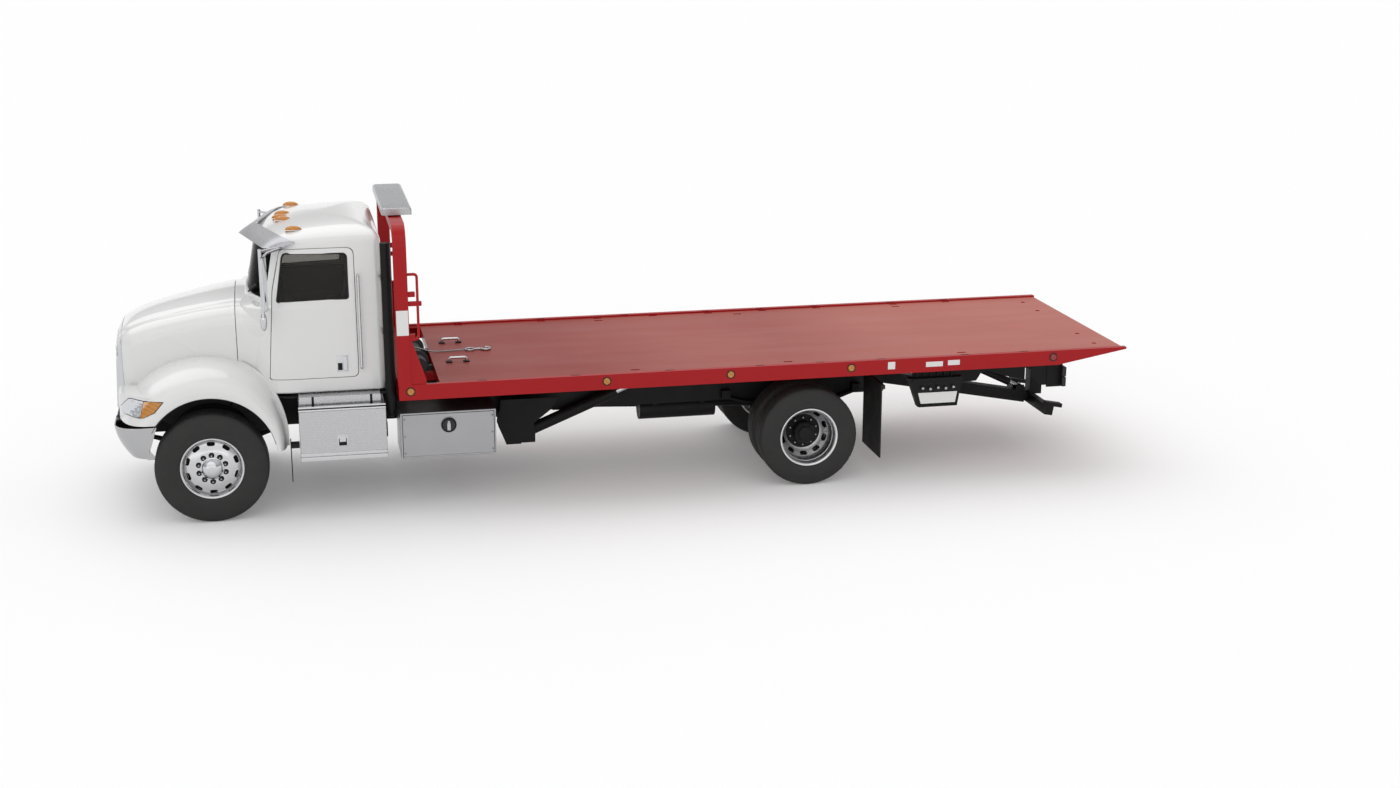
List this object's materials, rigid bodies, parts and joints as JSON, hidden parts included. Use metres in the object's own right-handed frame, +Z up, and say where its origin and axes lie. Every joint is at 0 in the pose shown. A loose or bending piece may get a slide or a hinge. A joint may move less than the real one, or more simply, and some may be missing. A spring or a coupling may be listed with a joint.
{
  "type": "flatbed tow truck",
  "caption": "Rollback tow truck: white conventional cab, red flat bed that tilts and slides, headboard hoop with light bar, winch with hooked rope, twin rear tyres and an underlift at the tail.",
  "frame": {"origin": "middle of the overall box on the ground", "axes": "+Z up, front of the truck toward -X, its left side toward -Y"},
  "size_m": [10.115, 2.591, 2.916],
  "materials": {
    "black_steel": "satin black paint",
    "white_paint": "gloss white paint",
    "red_paint": "gloss deep red paint",
    "chrome": "mirror chrome",
    "aluminium": "bright aluminium",
    "steel": "bare steel",
    "iron": "grey cast iron",
    "tyre": "black rubber",
    "rubber": "black rubber",
    "glass": "dark tinted glass",
    "plastic": "grained black plastic",
    "fabric": "dark grey cloth",
    "amber": "amber lens",
    "red_lens": "red lens",
    "clear_lens": "clear lens"
  },
  "bodies": {
    "chassis": {"frame_rails": "black_steel", "front_bumper": "chrome", "engine_and_gearbox": "iron", "radiator": "aluminium", "front_axle": "black_steel", "rear_axle": "black_steel", "leaf_springs": "black_steel", "drive_shaft": "black_steel", "exhaust": "steel", "air_tanks": "black_steel", "fuel_tank": "aluminium", "step_box": "aluminium", "tool_boxes": "aluminium", "mud_flaps": "rubber", "tilt_brackets": "black_steel", "cab_shell": "white_paint", "cab_glass": "glass", "dashboard": "plastic", "seats": "fabric", "sun_visor": "chrome", "roof_lamps": "amber", "mirrors": "plastic"},
    "left_cab_door": {"left_door": "white_paint", "left_door_glass": "glass"},
    "right_cab_door": {"right_door": "white_paint", "right_door_glass": "glass"},
    "steering_wheel": {"steering_wheel": "plastic"},
    "hood": {"hood": "white_paint", "grille": "chrome", "headlamps": "clear_lens"},
    "left_knuckle": {"left_knuckle": "black_steel"},
    "right_knuckle": {"right_knuckle": "black_steel"},
    "front_left_wheel": {"front_left_tyre": "tyre", "front_left_rim": "aluminium"},
    "front_right_wheel": {"front_right_tyre": "tyre", "front_right_rim": "aluminium"},
    "rear_left_wheels": {"rear_left_tyres": "tyre", "rear_left_rims": "aluminium"},
    "rear_right_wheels": {"rear_right_tyres": "tyre", "rear_right_rims": "aluminium"},
    "left_box_door": {"left_box_door": "aluminium"},
    "right_box_door": {"right_box_door": "aluminium"},
    "subframe": {"subframe": "black_steel", "control_boxes": "black_steel", "tail_lamps": "red_lens", "lift_frame": "black_steel"},
    "tilt_barrels": {"tilt_barrels": "black_steel"},
    "tilt_rods": {"tilt_rods": "chrome"},
    "bed": {"deck": "red_paint", "headboard": "red_paint", "light_bar": "aluminium", "winch": "black_steel", "winch_rope": "steel", "tow_hook": "steel", "deck_rings": "steel"},
    "lift_boom": {"lift_boom": "black_steel"},
    "lift_crossbar": {"lift_crossbar": "black_steel"},
    "lift_barrel": {"lift_barrel": "black_steel"},
    "lift_rod": {"lift_rod": "chrome"}
  },
  "joints": [
    {"name": "bed_tilt", "type": "hinge", "parent": "chassis", "child": "subframe", "pos_m": [2.7075, 0, 0.96], "axis": [0, 1, 0], "range_deg": [0, 11]},
    {"name": "bed_slide", "type": "slide", "parent": "subframe", "child": "bed", "axis": [1, 0, 0], "range_m": [0, 4.25]},
    {"name": "tilt_barrel_swing", "type": "hinge", "parent": "chassis", "child": "tilt_barrels", "pos_m": [-1.2195, 0, 0.489], "axis": [0, -1, 0], "range_deg": [0, 15.43]},
    {"name": "tilt_rod_slide", "type": "slide", "parent": "tilt_barrels", "child": "tilt_rods", "axis": [0.928, 0, 0.3727], "range_m": [0, 0.2879]},
    {"name": "lift_swing", "type": "hinge", "parent": "subframe", "child": "lift_boom", "pos_m": [2.8375, 0, 0.78], "axis": [0, -1, 0], "range_deg": [-5.5, 0]},
    {"name": "lift_extend", "type": "slide", "parent": "lift_boom", "child": "lift_crossbar", "axis": [-0.9826, 0, 0.1857], "range_m": [-0.6, 0]},
    {"name": "lift_barrel_swing", "type": "hinge", "parent": "subframe", "child": "lift_barrel", "pos_m": [3.9155, 0, 0.822], "axis": [0, -1, 0], "range_deg": [-14.26, 0]},
    {"name": "lift_rod_slide", "type": "slide", "parent": "lift_barrel", "child": "lift_rod", "axis": [0.9006, 0, -0.4346], "range_m": [0, 0.0643]},
    {"name": "left_steer", "type": "hinge", "parent": "chassis", "child": "left_knuckle", "pos_m": [-4.1725, -0.88, 0.538], "axis": [0, 0, 1], "range_deg": [-35, 35]},
    {"name": "right_steer", "type": "hinge", "parent": "chassis", "child": "right_knuckle", "pos_m": [-4.1725, 0.88, 0.538], "axis": [0, 0, 1], "range_deg": [-36, 36]},
    {"name": "steering_wheel_turn", "type": "hinge", "parent": "chassis", "child": "steering_wheel", "pos_m": [-3.30474, -0.43, 1.9692], "axis": [0.8829, 0, 0.4695], "range_deg": [-530, 530]},
    {"name": "front_left_spin", "type": "hinge", "parent": "left_knuckle", "child": "front_left_wheel", "pos_m": [-4.1725, -1.02, 0.538], "axis": [0, 1, 0], "continuous": true},
    {"name": "front_right_spin", "type": "hinge", "parent": "right_knuckle", "child": "front_right_wheel", "pos_m": [-4.1725, 1.02, 0.538], "axis": [0, 1, 0], "continuous": true},
    {"name": "rear_left_spin", "type": "hinge", "parent": "chassis", "child": "rear_left_wheels", "pos_m": [1.7075, -0.915, 0.506], "axis": [0, 1, 0], "continuous": true},
    {"name": "rear_right_spin", "type": "hinge", "parent": "chassis", "child": "rear_right_wheels", "pos_m": [1.7075, 0.915, 0.506], "axis": [0, 1, 0], "continuous": true},
    {"name": "left_door_swing", "type": "hinge", "parent": "chassis", "child": "left_cab_door", "pos_m": [-3.5895, -0.936, 1.95], "axis": [0, 0, -1], "range_deg": [0, 65]},
    {"name": "right_door_swing", "type": "hinge", "parent": "chassis", "child": "right_cab_door", "pos_m": [-3.5895, 0.936, 1.95], "axis": [0, 0, 1], "range_deg": [0, 65]},
    {"name": "hood_tilt", "type": "hinge", "parent": "chassis", "child": "hood", "pos_m": [-4.9625, 0, 1.01], "axis": [0, -1, 0], "range_deg": [0, 50]},
    {"name": "left_box_door_drop", "type": "hinge", "parent": "chassis", "child": "left_box_door", "pos_m": [-1.919, -1.2, 0.549], "axis": [1, 0, 0], "range_deg": [0, 90]},
    {"name": "right_box_door_drop", "type": "hinge", "parent": "chassis", "child": "right_box_door", "pos_m": [-1.919, 1.2, 0.549], "axis": [-1, 0, 0], "range_deg": [0, 90]}
  ],
  "couplings": [
    {"joint": "tilt_barrel_swing", "follows": "bed_tilt", "ratio": 1.3569},
    {"joint": "tilt_rod_slide", "follows": "bed_tilt", "m_per_rad": 1.4476},
    {"joint": "lift_barrel_swing", "follows": "lift_swing", "ratio": 2.5024},
    {"joint": "lift_rod_slide", "follows": "lift_swing", "m_per_rad": -0.61815},
    {"joint": "right_steer", "follows": "left_steer", "ratio": 1},
    {"joint": "steering_wheel_turn", "follows": "left_steer", "ratio": 15}
  ]
}
